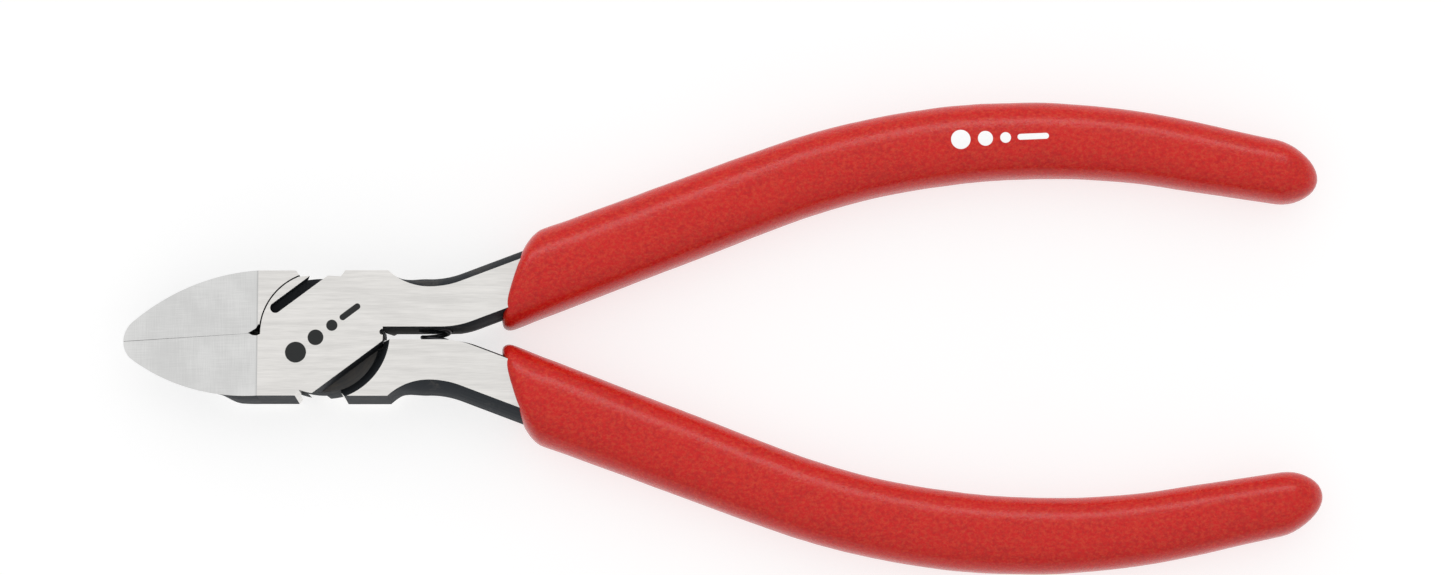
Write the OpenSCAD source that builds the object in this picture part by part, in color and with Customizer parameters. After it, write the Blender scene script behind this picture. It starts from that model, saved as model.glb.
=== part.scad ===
// Flush cutter: two forged halves lapped on a rivet, a coil opening spring and two dipped grips.
// Millimetres. +X runs from the jaws to the handles, +Y to the upper handle, +Z out of the
// flush face. The origin is on the pivot axis, in the plane of the joint's back face.

/* [Joint] */
// Thickness of the ground joint, from back face to flush face
joint_t = 9; // [8:0.5:10]
// Half the width of the head
head_half = 8.4; // [8.35:0.05:8.6]
// Radius of each half's lap disc
disc_r = 8.2; // [8.1:0.05:8.25]
// Radius of the recess that the other half's disc turns in
recess_r = 8.33; // [8.3:0.01:8.36]
// Radius at which the handle's shoulder meets the ground face
shoulder_r = 9.1; // [8.9:0.05:9.2]
// Gap between the two lap faces
lap_gap = 0.04; // [0.02:0.01:0.1]
// Slope of the bar across the joint
bar_angle = 37; // [35:1:38]
// Half the width of the bar across the joint
bar_half = 5.72; // [5.5:0.01:5.9]
// Width of the shallow groove beside the bar
groove_w = 1.4; // [0.8:0.1:1.4]
// Depth of the shallow groove beside the bar
groove_depth = 2; // [1:0.25:3]

/* [Rivet] */
// Radius of the rivet's shank
rivet_r = 3; // [2.5:0.1:3.4]
// Radius of the rivet's countersunk ends
rivet_head_r = 4; // [3.6:0.1:4.4]
// Radial running clearance in the rear half
running_gap = 0.03; // [0.02:0.01:0.06]

/* [Jaws] */
// Distance from the pivot to the tip
jaw_len = 26.7; // [26:0.1:28]
// Radius of the jaws' outer edge
jaw_r = 27.5; // [26.5:0.1:28.5]
// Distance from the pivot to the crease where the jaws start to thin
crease = 8.5; // [8.4:0.05:8.7]
// Height of the flush face at the tip
tip_front_z = 6.2; // [5.5:0.1:7]
// Height of the back face at the tip
tip_back_z = 2.2; // [1.5:0.1:3]
// Turn of the cutting line about the crease
jaw_tilt = 2.4; // [0:0.1:3]
// Gap between the two closed cutting edges
edge_gap = 0.05; // [0.04:0.01:0.1]
// Slope of the cutting bevels on the back, from the thickness axis
bevel_angle = 33; // [28:1:36]
// Height of the flat land beside each cutting edge
edge_land = 0.35; // [0.2:0.05:0.6]
// Lean of the jaws' outer sides towards the back
relief_angle = 25; // [20:1:28]

/* [Arms] */
// Half the gap between the two arms
arm_gap = 0.78; // [0.7:0.02:0.9]
// Radius of the neck on its head side
neck_head_r = 8; // [7.8:0.1:8.2]
// Radius of the neck on its handle side and of the arm's inner bend
neck_arm_r = 12; // [11:0.5:13]
// Slope of the straight stretch of the arms
arm_angle = 20.8; // [20:0.1:21.5]
// How far the outer side bulges past the ground face
outer_bulge = 1.2; // [0.8:0.1:1.4]
// How far the inner side bulges past the ground face
inner_bulge = 0.5; // [0.3:0.1:0.7]
// Half the height of the flat band along the middle of the sides
side_band = 1.9; // [1.5:0.1:2.4]

/* [Grips] */
// Distance from the pivot to the end of the grips
grip_end = 133.3; // [131:0.1:136]
// Radius of the bow in the handles
bow_r = 101.7; // [98:0.1:104]
// Fall of the handles behind the bow
tail_angle = 10.5; // [9:0.1:12]
// Thickness of the dipped coat at the sides
coat = 1.75; // [1.5:0.05:2]

/* [Spring] */
// Distance from the pivot to the spring's axis
spring_x = 15; // [14.5:0.1:15.2]
// Outer diameter of the coil
spring_d = 4.2; // [3.8:0.1:4.3]
// Diameter of the spring wire
wire_d = 0.6; // [0.5:0.05:0.7]
// Number of turns
turns = 7; // [6:1:8]
// Diameter of the pockets bored in the arms
pocket_d = 4.7; // [4.6:0.1:4.8]
// Depth of the pockets
pocket_depth = 3.4; // [3:0.1:3.6]

/* [Hidden] */
steel = "#c9c7c3";
spring_steel = "#4a4c4e";
red = "#c8302c";
mid = joint_t / 2;
round_fn = 96;
past = 1; // how far a cutter runs past the face it cuts
reach = 40; // more than any part of the head measures

// The head's free edge, flat under the shoulders
free_y = 7.72;
front_crown_r = 30;
rear_crown_r = 9.7;
// Shoulders that stop the opening
jaw_shoulder = [[-3.48, -head_half], [-2.93, -7.65]];
handle_ramp = [[2.49, 7.65], [3.09, head_half + 0.03]];

// Neck, arms and handles, seen from the front
neck_x = 14.3;
neck_y = 6.25;
arm_x = 8.9; // where the arm's loft takes over from the head
inner_bend_x = 15.8;
corner_x = 8; // inner corner between the bar and the arm
neck_end_x = neck_x + neck_arm_r * sin(arm_angle);
neck_end_y = neck_y + neck_arm_r * (1 - cos(arm_angle));
bend_end_x = inner_bend_x + neck_arm_r * sin(arm_angle);
bend_end_y = arm_gap + neck_arm_r * (1 - cos(arm_angle));

// Centre line of the upper handle: straight, bowed, then falling
handle_x = 29;
handle_y = 8.49;
bow_x = 59.5;
bow_y = handle_y + (bow_x - handle_x) * tan(arm_angle);
bow_centre = [bow_x + bow_r * sin(arm_angle), bow_y - bow_r * cos(arm_angle)];
tail_x = bow_centre.x + bow_r * sin(tail_angle);
tail_y = bow_centre.y + bow_r * cos(tail_angle);

grip_x = 25.7; // where the steel enters the grip on the centre line
grip_slant = 0.342; // how far the grip's front leans back per millimetre outwards
slant_length = 18;
end_round = 5;
tang_end = grip_end - 4.3;
section_power = 0.8; // below 1 squares the grip's section

// Widths and thicknesses along the handle
grip_widths = [[29, 11.2], [64, 10.6], [84, 10.55], [96, 10.25], [117, 9.3], [127, 8.5], [134, 8]];
grip_thicknesses = [[29, 11.4], [60, 10.4], [127, 9.6]];
tang_thicknesses = [[23, joint_t], [60, 8], [127, 7]];

function arc(c, r, from, to, steps) =
    [for (i = [0:steps]) let (a = from + (to - from) * i / steps) c + r * [cos(a), sin(a)]];

function clamp01(v) = max(0, min(1, v));

// Height of the ground face's outer and inner edges at x
function outer_edge(x) =
    x < neck_x ? neck_y + neck_head_r - sqrt(pow(neck_head_r, 2) - pow(x - neck_x, 2))
    : x < neck_end_x ? neck_y + neck_arm_r - sqrt(pow(neck_arm_r, 2) - pow(x - neck_x, 2))
    : neck_end_y + (x - neck_end_x) * tan(arm_angle);
function inner_edge(x) =
    x < inner_bend_x ? arm_gap
    : x < bend_end_x ? arm_gap + neck_arm_r - sqrt(pow(neck_arm_r, 2) - pow(x - inner_bend_x, 2))
    : bend_end_y + (x - bend_end_x) * tan(arm_angle);

// Height and slope of the handle's centre line at x
function centre_y(x) =
    x < bow_x ? handle_y + (x - handle_x) * tan(arm_angle)
    : x < tail_x ? bow_centre.y + sqrt(pow(bow_r, 2) - pow(x - bow_centre.x, 2))
    : tail_y - (x - tail_x) * tan(tail_angle);
function slope_angle(x) =
    x < bow_x ? arm_angle : x < tail_x ? asin((bow_centre.x - x) / bow_r) : -tail_angle;

// The steel's section at x, as 16 points from the inner front edge round over the outer side:
// two ground faces and two forged sides that bulge between them
function steel_ring(x) = let (
    handle = x > 28,
    lean = cos(slope_angle(x)),
    half_w = (lookup(x, grip_widths) / 2 - coat) / lean,
    c = centre_y(x),
    out_b = outer_bulge * clamp01((x - arm_x) / 5) / lean,
    in_b = inner_bulge * clamp01((x - inner_bend_x) / 4) / lean,
    out_m = handle ? c + half_w : outer_edge(x) + out_b,
    in_m = handle ? c - half_w : inner_edge(x) - in_b,
    out_f = out_m - out_b,
    in_f = in_m + in_b,
    h = lookup(x, tang_thicknesses) / 2,
    corners = [[in_f, h], [out_f, h], [out_m, side_band], [out_m, -side_band],
               [out_f, -h], [in_f, -h], [in_m, -side_band], [in_m, side_band]])
    [for (i = [0:7]) let (p = corners[i], q = corners[(i + 1) % 8])
        for (r = [p, (p + q) / 2]) [x, r.x, mid + r.y]];

// The grip's section at x: a squared oval of the same 16 points
function grip_ring(x) = let (
    end = sqrt(max(0.001, 1 - pow(max(0, x - grip_end + end_round) / end_round, 2))),
    half_w = lookup(x, grip_widths) / 2 / cos(slope_angle(x)) * end,
    half_t = lookup(x, grip_thicknesses) / 2 * end,
    c = centre_y(x))
    [for (i = [0:15]) let (a = 112.5 - 22.5 * i)
        [x, c + half_w * sign(cos(a)) * pow(abs(cos(a)), section_power),
         mid + half_t * sign(sin(a)) * pow(abs(sin(a)), section_power)]];

// A ring whose points slide along the straight arm, as the grip's front edge leans
function slanted(ring, x) = let (
    s = grip_slant * clamp01(1 - (x - grip_x) / slant_length), c = centre_y(x))
    [for (p = ring) let (dx = s * (p.y - c)) [p.x + dx, p.y + dx * tan(arm_angle), p.z]];

// A ring between the steel and the grip's skin, k of the way out
function lip_ring(x, k) = slanted((1 - k) * steel_ring(x) + k * grip_ring(x), x);

// A closed solid through rings that have the same number of points, capped by fans
module loft(rings) {
    n = len(rings[0]);
    last = (len(rings) - 1) * n;
    hub = last + n;
    middle = function (ring) [for (p = ring) 1] * ring / n;
    polyhedron(
        points = [for (r = rings) each r, middle(rings[0]), middle(rings[len(rings) - 1])],
        faces = [
            for (i = [0:n - 1]) let (j = (i + 1) % n) each [[j, i, hub], [last + i, last + j, hub + 1]],
            for (k = [0:len(rings) - 2], i = [0:n - 1]) let (
                a = k * n + i, b = k * n + (i + 1) % n, c = b + n, d = a + n)
                each [[a, b, c], [a, c, d]]
        ]);
}

arm_stations = [arm_x, 9.8, 10.8, 12, 13.2, 14.3, 15.8, 17.2, 18.6, 20.1, 23, grip_x];
tang_stations = [for (x = [30:4.5:120]) x, 124.5, tang_end];
bow_stations = [for (x = [32:4:124]) x, 126.5, 128.3, 129.9, 131.2, 132.2, 132.9, grip_end];

// Everything from the neck to the end of the tang, for an upper handle
module arm() {
    loft([for (x = concat(arm_stations, tang_stations)) steel_ring(x)]);
}

// Root of the upper handle, in full thickness, running past the bar's lower edge
module handle_root() {
    linear_extrude(joint_t)
        polygon([
            [0, 0], handle_ramp[0], handle_ramp[1], [arm_x - 0.06, head_half + 0.03],
            [arm_x, outer_edge(arm_x)], [arm_x, arm_gap], [corner_x, arm_gap],
            [corner_x, -head_half / 2], [0, -head_half / 2]
        ]);
}

// One half's lap disc, flattened under the other's shoulders
module lap_disc(crown_r) {
    intersection() {
        translate([0, 0, mid + lap_gap / 2])
            cylinder(r = disc_r, h = mid - lap_gap / 2, $fn = round_fn);
        translate([0, free_y - crown_r, 0])
            cylinder(r = crown_r, h = joint_t + past, $fn = 4 * round_fn);
    }
}

// What lies above the lower edge of the bar across the joint
module above_bar_edge() {
    intersection() {
        children();
        rotate([0, 0, bar_angle])
            translate([-reach / 2, -bar_half, -past])
                cube([reach, reach, joint_t + 2 * past]);
    }
}

// The groove beside the bar, open towards the shoulders' gap
module groove() {
    rotate([0, 0, bar_angle])
        translate([0, bar_half + groove_w / 2, joint_t - groove_depth]) {
            translate([-2.8, 0, 0])
                cylinder(d = groove_w, h = groove_depth + past, $fn = 48);
            translate([-2.8, -groove_w / 2, 0])
                cube([reach / 2, groove_w, groove_depth + past]);
        }
}

// A prism whose outline lies in the XZ plane
module across(points) {
    rotate([90, 0, 0])
        linear_extrude(reach, center = true)
            polygon(points);
}

// Outline of a jaw below the cutting line, which turns by tilt about the crease: a nose arc
// tangent to the long edge arc, then the head up to its shoulder
module jaw_outline(tilt) {
    run = jaw_len - crease;
    drop = jaw_r - head_half;
    nose_r = (pow(jaw_r, 2) - pow(run, 2) - pow(drop, 2)) / 2 / (jaw_r - run);
    meet = 180 + atan2(drop, run - nose_r);
    turned = function (p) [p.x * cos(tilt) - p.y * sin(tilt) - crease, p.x * sin(tilt) + p.y * cos(tilt)];
    edge = concat(
        arc([nose_r - run, 0], nose_r, 180 + asin(edge_gap / 2 / nose_r), meet, 6),
        arc([0, drop], jaw_r, meet + 2.4, 266, 16));
    polygon(concat(
        [[jaw_shoulder[1].x, -edge_gap / 2], [-crease, -edge_gap / 2]],
        [for (p = edge) turned(p)],
        [[-crease, -head_half], jaw_shoulder[0], jaw_shoulder[1]]));
}

// A jaw, thinned towards the tip, its outer side leaning under, bevelled from the back
module jaw(tilt) {
    run = jaw_len - crease;
    front_slope = atan2(joint_t - tip_front_z, run);
    difference() {
        linear_extrude(joint_t)
            jaw_outline(tilt);
        // outer side leaning under
        difference() {
            translate([-reach, -2 * head_half, -past])
                cube([reach - crease - 0.5, 2 * head_half, joint_t + 2 * past]);
            translate([-crease, jaw_r - head_half, joint_t])
                rotate([0, -relief_angle, 0])
                    cylinder(r = jaw_r + 0.15, h = 4 * joint_t, center = true, $fn = 4 * round_fn);
        }
        // flush face and back face falling towards the tip
        across([[-crease, joint_t], [-crease - 2 * run, 2 * tip_front_z - joint_t],
                [-crease - 2 * run, 2 * joint_t], [-crease, 2 * joint_t]]);
        across([[-crease, 0], [-crease - 2 * run, 2 * tip_back_z],
                [-crease - 2 * run, -joint_t], [-crease, -joint_t]]);
        // cutting bevel, up to a narrow land
        translate([-crease, 0, joint_t])
            rotate([0, 0, tilt])
                rotate([0, -front_slope, 0])
                    translate([-reach - 1.2, 0, 0])
                        rotate([90, 0, 90])
                            linear_extrude(reach)
                                polygon([[past, bevel_z(past)], [-reach, bevel_z(-reach)],
                                         [past, bevel_z(-reach)]]);
    }
}

// Height of the bevel's plane below the flush face, y above the cutting line
function bevel_z(y) = (y + edge_gap / 2) / tan(bevel_angle) - edge_land;

// Small gap at the root of the cutting edges
module throat() {
    translate([0, 0, -past])
        linear_extrude(joint_t + 2 * past)
            polygon([[-9.7, 0], [-8.62, 0.4], [-8.3, 0.1], [-8.3, -0.15], [-8.7, -0.32]]);
}

// Spring pocket in the upper arm's inner side
module pocket() {
    translate([spring_x, arm_gap + pocket_depth, mid])
        rotate([90, 0, 0])
            cylinder(d = pocket_d, h = pocket_depth + past, $fn = round_fn);
}

// A forged half with its disc in front and its handle above, without its jaw
module handle_side(crown_r) {
    difference() {
        union() {
            above_bar_edge() {
                lap_disc(crown_r);
                handle_root();
            }
            arm();
        }
        // room for the other half's disc
        cylinder(r1 = shoulder_r, r2 = recess_r, h = mid + lap_gap / 2, $fn = round_fn);
        groove();
        pocket();
        translate([corner_x + 0.1, 0.15, -past])
            cylinder(r = 0.4, h = joint_t + 2 * past, $fn = 32);
    }
}

// A jaw cut out for the other half's disc, which lies between z = from and z = to
module recessed(from, to) {
    difference() {
        children();
        translate([0, 0, from])
            cylinder(r = recess_r, h = to - from, $fn = round_fn);
        throat();
    }
}

module turned_over() {
    translate([0, 0, joint_t])
        rotate([180, 0, 0])
            children();
}

module front_half() {
    color(steel)
        difference() {
            union() {
                handle_side(front_crown_r);
                recessed(-past, mid + lap_gap / 2)
                    jaw(jaw_tilt);
            }
            translate([0, 0, mid - past])
                cylinder(r = rivet_r, h = mid + 2 * past, $fn = round_fn);
            rivet_end(0);
        }
}

module rear_half() {
    color(steel)
        difference() {
            union() {
                turned_over()
                    handle_side(rear_crown_r);
                recessed(mid - lap_gap / 2, joint_t + past)
                    mirror([0, 1, 0])
                        jaw(-jaw_tilt);
            }
            translate([0, 0, -past])
                cylinder(r = rivet_r + running_gap, h = mid + 2 * past, $fn = round_fn);
            turned_over()
                rivet_end(running_gap);
        }
}

// The rivet's flared front end, with a gap all round it
module rivet_end(gap) {
    flare = rivet_head_r - rivet_r;
    translate([0, 0, joint_t - flare])
        cylinder(r1 = rivet_r + gap, r2 = rivet_head_r + gap, h = flare, $fn = round_fn);
}

module pivot_rivet() {
    color(steel)
        union() {
            cylinder(r = rivet_r, h = joint_t, $fn = round_fn);
            rivet_end(0);
            turned_over()
                rivet_end(0);
        }
}

// Coil between the pockets' floors, its end turns closed up
module opening_spring() {
    coil_r = (spring_d - wire_d) / 2;
    half_l = arm_gap + pocket_depth - wire_d / 2 - 0.02;
    steps = 16;
    sides = 6;
    pitch_at = function (t) sign(t) * (1 - pow(1 - abs(t), 1.35));
    color(spring_steel)
        translate([spring_x, 0, mid])
            loft([for (k = [0:turns * steps]) let (
                    t = 2 * k / turns / steps - 1,
                    a = 360 * k / steps,
                    out = [cos(a), 0, sin(a)])
                [for (i = [0:sides - 1]) let (b = -360 * i / sides)
                    [0, half_l * pitch_at(t), 0] + (coil_r + wire_d / 2 * cos(b)) * out
                    + [0, wire_d / 2 * sin(b), 0]]]);
}

// Dipped sleeve on the upper tang: bore, rolled lip, then the skin
module grip() {
    bore = [for (i = [len(tang_stations) - 1:-1:0]) steel_ring(tang_stations[i])];
    lip = [lip_ring(grip_x, 0), lip_ring(grip_x - 0.4, 0.4), lip_ring(grip_x, 0.8),
           lip_ring(grip_x + 1.1, 1), lip_ring(29, 1)];
    skin = [for (x = bow_stations) slanted(grip_ring(x), x)];
    loft(concat(bore, lip, skin));
}

module upper_grip() {
    color(red)
        grip();
}

module lower_grip() {
    color(red)
        turned_over()
            grip();
}

front_half();
rear_half();
pivot_rivet();
opening_spring();
upper_grip();
lower_grip();
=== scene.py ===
"""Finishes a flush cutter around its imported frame: forged halves, rivet, spring and dipped grips.

Outlines and sections are worked out in millimetres, in the frame's axes, and turned into metres
when a mesh is made.
"""

import math

import bmesh
import bpy
from mathutils import Matrix, Vector, noise


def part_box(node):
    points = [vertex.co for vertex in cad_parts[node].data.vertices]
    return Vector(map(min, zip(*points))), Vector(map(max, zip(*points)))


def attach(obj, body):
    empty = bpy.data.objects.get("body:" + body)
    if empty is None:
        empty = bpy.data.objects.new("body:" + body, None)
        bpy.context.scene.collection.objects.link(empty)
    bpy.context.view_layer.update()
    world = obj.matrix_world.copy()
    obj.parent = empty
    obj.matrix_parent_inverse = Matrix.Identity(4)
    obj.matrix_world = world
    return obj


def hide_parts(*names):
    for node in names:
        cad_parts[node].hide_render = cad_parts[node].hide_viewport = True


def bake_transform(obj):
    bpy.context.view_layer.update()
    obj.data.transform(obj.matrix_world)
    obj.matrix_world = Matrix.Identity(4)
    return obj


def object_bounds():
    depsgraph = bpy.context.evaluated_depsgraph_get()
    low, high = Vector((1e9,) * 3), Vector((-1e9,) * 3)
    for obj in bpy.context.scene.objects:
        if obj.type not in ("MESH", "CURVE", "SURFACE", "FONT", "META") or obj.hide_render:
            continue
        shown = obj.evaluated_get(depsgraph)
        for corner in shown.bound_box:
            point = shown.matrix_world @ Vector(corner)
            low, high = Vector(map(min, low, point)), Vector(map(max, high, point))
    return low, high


bl_info = {
    "name": "Flush Cutter",
    "version": (1, 0, 0),
    "blender": (4, 5, 0),
    "location": "3D View > Sidebar > Flush Cutter",
    "description": "Forged halves, rivet, spring and dipped grips of a flush cutter",
    "category": "Add Mesh",
}

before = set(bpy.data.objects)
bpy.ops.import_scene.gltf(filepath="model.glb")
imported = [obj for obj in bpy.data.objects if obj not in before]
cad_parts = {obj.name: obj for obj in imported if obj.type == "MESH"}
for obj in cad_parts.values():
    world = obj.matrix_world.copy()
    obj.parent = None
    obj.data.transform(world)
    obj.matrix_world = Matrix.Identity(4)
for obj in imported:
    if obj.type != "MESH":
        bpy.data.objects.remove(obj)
CAD_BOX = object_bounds()

MM = 0.001
FRONT_BODY = "front_body"
REAR_BODY = "rear_body"
JOINT_T = round(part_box("pivot_rivet")[1].z / MM, 3)
MID = JOINT_T / 2
TIP_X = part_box("front_half")[0].x / MM
GRIP_END_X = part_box("upper_grip")[1].x / MM
PAST = 1.0  # how far a cutter runs past what it cuts
FAR = 40.0  # more than any part of the head measures
ROUND = 192  # steps round a full circle


# ---------------------------------------------------------------------------- sizes and colours


def length(name, about, mm):
    """A length property with its default in millimetres."""
    return bpy.props.FloatProperty(
        name=name, description=about, default=mm * MM, min=0, unit="LENGTH", precision=5
    )


def factor(name, about, value):
    return bpy.props.FloatProperty(name=name, description=about, default=value, min=0)


def angle(name, about, degrees):
    return bpy.props.FloatProperty(
        name=name, description=about, default=math.radians(degrees), subtype="ANGLE"
    )


def colour(name, about, rgb):
    return bpy.props.FloatVectorProperty(
        name=name, description=about, default=rgb, subtype="COLOR", size=3, min=0, max=1
    )


class CutterSizes(bpy.types.PropertyGroup):
    """Driving sizes of the visible shapes."""

    head_half: length("Head half width", "Half the width of the head", 8.4)
    disc_r: length("Disc radius", "Radius of each half's lap disc", 8.17)
    recess_r: length("Recess radius", "Radius of the recess round the other half's disc", 8.36)
    shoulder_r: length("Shoulder radius", "Radius of the handle's shoulder at its face", 9.1)
    floor_r: length("Floor radius", "Radius of the recess's floor, where its sloped wall starts", 7.46)
    lap_gap: length("Lap gap", "Gap between the two lap faces", 0.04)
    bar_angle: angle("Bar slope", "Slope of the bar across the joint", 37)
    bar_half: length("Bar half width", "Half the width of the bar across the joint", 5.72)
    groove_w: length("Groove width", "Width of the shallow groove beside the bar", 1.4)
    groove_depth: length("Groove depth", "Depth of the groove beside the bar", 2)
    free_y: length("Free edge", "Height of the disc's free edge above the pivot", 7.72)
    front_crown_r: length("Front crown", "Radius of the front disc's free edge", 30)
    rear_crown_r: length("Rear crown", "Radius of the rear disc's free edge", 9.7)
    crease: length("Crease", "Distance from the pivot to where the jaws start to thin", 8.5)
    jaw_r: length("Jaw radius", "Radius of the jaws' outer edge", 27.5)
    jaw_drop: length("Tip drop", "How far the cutting line falls at the tip", 0.76)
    tip_front: length("Tip front", "Height of the flush face at the tip", 6.2)
    tip_back: length("Tip back", "Height of the back face at the tip", 2.2)
    edge_gap: length("Edge gap", "Gap between the closed cutting edges", 0.05)
    edge_land: length("Edge land", "Height of the flat beside each cutting edge", 0.35)
    bevel_angle: angle("Bevel", "Slope of the cutting bevels from the thickness axis", 33)
    lean: factor("Side lean", "How far a jaw's outer side leans in, as a share of its height", 0.26)
    arm_gap: length("Arm gap", "Half the gap between the two arms", 0.86)
    neck_head_r: length("Neck radius, head", "Radius of the neck on its head side", 8)
    neck_arm_r: length("Neck radius, arm", "Radius of the neck on its handle side", 12)
    arm_angle: angle("Arm slope", "Slope of the straight stretch of the arms", 20.8)
    outer_bulge: length("Outer bulge", "Bulge of the forged outer side past its face", 1.4)
    inner_bulge: length("Inner bulge", "Bulge of the forged inner side past its face", 0.5)
    gap_relief: length("Gap relief", "Width of the ground chamfer on an arm's inner back edge", 0.6)
    flash: length("Flash line", "Height of the forging's parting ridge", 0.1)
    bow_r: length("Bow radius", "Radius of the bow in the handles", 101.7)
    tail_angle: angle("Tail slope", "Fall of the handles behind the bow", 10.5)
    coat: length("Coat", "Thickness of the dipped coat at the sides", 1.75)
    lip: length("Lip", "Length over which the coat's front edge is rounded", 2.1)
    chamfer: length("Chamfer", "Width of the broken edges of the steel", 0.07)
    rivet_r: length("Rivet radius", "Radius of the rivet's shank", 3)
    rivet_head_r: length("Rivet head radius", "Radius of the rivet's countersunk ends", 4)
    rivet_gap: length("Rivet gap", "Running clearance round the rivet", 0.03)
    spring_x: length("Spring place", "Distance from the pivot to the spring's axis", 15)
    spring_d: length("Spring diameter", "Outer diameter of the coil", 4.2)
    wire_d: length("Wire diameter", "Diameter of the spring wire", 0.6)
    pocket_d: length("Pocket diameter", "Diameter of the pockets bored for the spring", 4.7)
    pocket_depth: length("Pocket depth", "Depth of those pockets", 3.4)
    spring_turns: bpy.props.IntProperty(
        name="Turns", description="Turns of the spring", default=7, min=3, max=12
    )


class CutterColours(bpy.types.PropertyGroup):
    """Colours of the finishes."""

    ground: colour("Ground steel", "Bright ground faces of the joint and arms", (0.88, 0.862, 0.836))
    jaw: colour("Jaw faces", "Finely ground faces of the jaws", (0.80, 0.80, 0.792))
    forged: colour("Forged steel", "Dark scale on forged and recessed faces", (0.024, 0.027, 0.031))
    lap: colour("Lap faces", "Dark faces that the halves slide on", (0.078, 0.079, 0.081))
    worn: colour("Worn scale", "Scale where it is rubbed", (0.11, 0.10, 0.09))
    etched: colour("Etched mark", "Dark etched symbol on the joint", (0.018, 0.020, 0.020))
    spring: colour("Spring wire", "Dark drawn spring wire", (0.07, 0.07, 0.075))
    grip: colour("Grip", "Red of the dipped coat", (0.55, 0.007, 0.006))
    grip_fleck: colour("Grip fleck", "Warmer flecks in the coat", (0.60, 0.066, 0.024))
    # A deeper red that is partly the coat's own mottling and partly painted shade in the pits of its pebbled
    # surface
    grip_shade: colour("Grip shade", "Deeper red in the coat's pores", (0.38, 0.005, 0.007))
    print_white: colour("Printed symbol", "White printed symbol on the grip", (0.9, 0.9, 0.9))
    floor: colour("Floor", "Pale floor", (0.93, 0.93, 0.93))


def sizes():
    """The sizes as plain numbers: lengths in millimetres, angles in radians."""
    group = bpy.context.scene.cutter_sizes
    props = CutterSizes.bl_rna.properties
    return type("Sizes", (), {
        p.identifier: getattr(group, p.identifier) / (MM if p.unit == "LENGTH" else 1)
        for p in props if p.type in {"FLOAT", "INT"}
    })


# ---------------------------------------------------------------------------- meshes


def linked(name, mesh):
    made = bpy.data.objects.new(name, mesh)
    bpy.context.scene.collection.objects.link(made)
    return made


def solid(name, points, faces):
    """A closed mesh object with its faces pointing outwards."""
    mesh = bpy.data.meshes.new(name)
    work = bmesh.new()
    corners = [work.verts.new(p) for p in points]
    for face in faces:
        work.faces.new([corners[i] for i in face])
    bmesh.ops.recalc_face_normals(work, faces=work.faces)
    work.to_mesh(mesh)
    work.free()
    return linked(name, mesh)


def loft(name, rings):
    """A closed skin through rings with the same number of points, capped at both ends."""
    n = len(rings[0])
    faces = [
        (k * n + i, k * n + (i + 1) % n, (k + 1) * n + (i + 1) % n, (k + 1) * n + i)
        for k in range(len(rings) - 1)
        for i in range(n)
    ]
    last = (len(rings) - 1) * n
    faces += [tuple(range(n)), tuple(range(last, last + n))]
    return solid(name, [p for ring in rings for p in ring], faces)


def prism(outline, low, high):
    """An upright prism on an outline in the XY plane."""
    return loft("Prism", [[(x, y, z) for x, y in outline] for z in (low, high)])


def cone(low, low_r, high, high_r, steps=ROUND):
    """An upright round solid about the pivot axis."""
    return turned("Cone", ((low, low_r), (high, high_r)), steps)


def turned(name, profile, steps=ROUND):
    """A solid of revolution about the pivot axis, from (height, radius) pairs."""
    turns = [math.tau * i / steps for i in range(steps)]
    return loft(name, [[(r * math.cos(a), r * math.sin(a), z) for a in turns] for z, r in profile])


def arc(centre, radius, start, end, steps):
    """Points on an arc between two angles in degrees."""
    turns = [math.radians(start + (end - start) * i / steps) for i in range(steps + 1)]
    return [(centre[0] + radius * math.cos(a), centre[1] + radius * math.sin(a)) for a in turns]


def placed(made, matrix):
    made.data.transform(matrix)
    return made


def applied(made):
    """Turns the object's modifiers into its mesh."""
    graph = bpy.context.evaluated_depsgraph_get()
    mesh = bpy.data.meshes.new_from_object(made.evaluated_get(graph))
    made.modifiers.clear()
    old, made.data = made.data, mesh
    bpy.data.meshes.remove(old)
    return made


def combined(made, tool, operation):
    """The object joined with, or cut by, a tool that is used up."""
    step = made.modifiers.new("Combine", "BOOLEAN")
    step.operation = operation
    step.object = tool
    step.solver = "EXACT"
    applied(made)
    bpy.data.objects.remove(tool)
    return made


def joined(made, tool):
    return combined(made, tool, "UNION")


def cut(made, tool):
    return combined(made, tool, "DIFFERENCE")


def turned_over(made):
    """Turned by half a turn about the lengthwise axis at the middle of the joint."""
    return placed(made, Matrix.Translation((0, 0, JOINT_T)) @ Matrix.Rotation(math.pi, 4, "X"))


def cleaned(made, flat=0.3):
    """Welds doubles and merges coplanar faces."""
    work = bmesh.new()
    work.from_mesh(made.data)
    bmesh.ops.remove_doubles(work, verts=work.verts, dist=0.002)
    bmesh.ops.dissolve_limit(
        work, angle_limit=math.radians(flat), verts=work.verts, edges=work.edges
    )
    bmesh.ops.dissolve_degenerate(work, edges=work.edges, dist=0.002)
    work.to_mesh(made.data)
    work.free()
    return made


def softened(made, width, limit=28):
    """Breaks the sharp edges with a narrow chamfer."""
    step = made.modifiers.new("Edges", "BEVEL")
    step.width = width
    step.segments = 2
    step.limit_method = "ANGLE"
    step.angle_limit = math.radians(limit)
    step.use_clamp_overlap = True
    step.harden_normals = False
    step.miter_outer = "MITER_ARC"
    return applied(made)


def smoothed(made, sharp=24, plane=None):
    """Smooth shading, broken at sharp edges, and on planes where there are any.

    Planes are the faces that are level or have at least the given area in square millimetres.
    """
    made.data.set_sharp_from_angle(angle=math.radians(sharp))
    for face in made.data.polygons:
        face.use_smooth = not plane or (face.area < plane and abs(face.normal.z) < 0.98)
    return made


def finished(made, name, body, replaced):
    """Names a piece, turns it into metres and hands it to the frame."""
    made.name = name
    made.data.name = name
    made.data.transform(Matrix.Scale(MM, 4))
    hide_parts(replaced)
    if body:
        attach(made, body)
    return made


def clamp(v, low=0.0, high=1.0):
    return max(low, min(high, v))


def ease(v):
    v = clamp(v)
    return v * v * (3 - 2 * v)


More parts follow.
